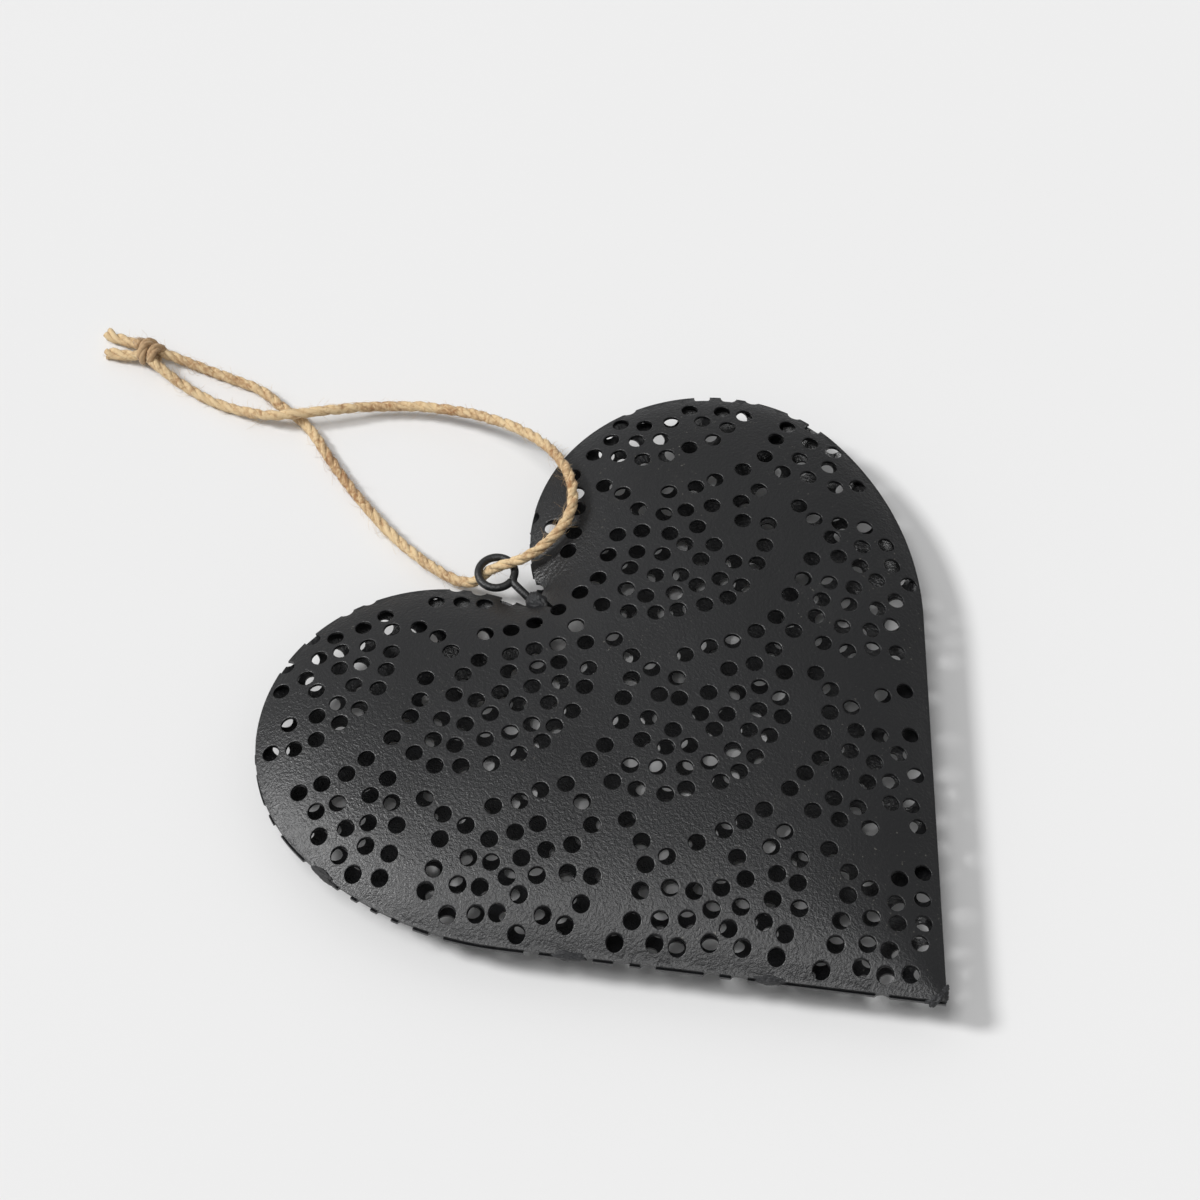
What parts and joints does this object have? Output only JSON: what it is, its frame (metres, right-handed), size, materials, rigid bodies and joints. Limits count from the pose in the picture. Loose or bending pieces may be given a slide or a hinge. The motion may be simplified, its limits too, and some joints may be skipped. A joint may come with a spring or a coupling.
{
  "type": "pierced tin heart ornament",
  "caption": "Hollow heart ornament of two domed sheet-metal shells pierced with a fish-scale pattern of round holes, hung by a wire eye and a knotted twine loop.",
  "frame": {"origin": "bottom centre of the heart's bounding box with its solder lumps and without the twine, with the heart lying on its back", "axes": "+X to the heart's right seen from the front, +Y from the tip towards the lobes, +Z out of the front face"},
  "size_m": [0.095, 0.1589, 0.0132],
  "materials": {
    "black_tin": "satin black powder coat",
    "black_wire": "satin black coat",
    "coated_solder": "rough black coat",
    "jute_twine": "matt fibre"
  },
  "bodies": {
    "root": {"front_shell": "black_tin", "back_shell": "black_tin", "hanging_eye": "black_wire", "cleft_solder": "coated_solder", "solder_tack_1": "coated_solder", "solder_tack_2": "coated_solder", "solder_tack_3": "coated_solder", "solder_tack_tip": "coated_solder", "twine_long_side": "jute_twine", "twine_short_side": "jute_twine", "twine_knot": "jute_twine", "twine_long_tail": "jute_twine", "twine_short_tail": "jute_twine"}
  },
  "joints": []
}
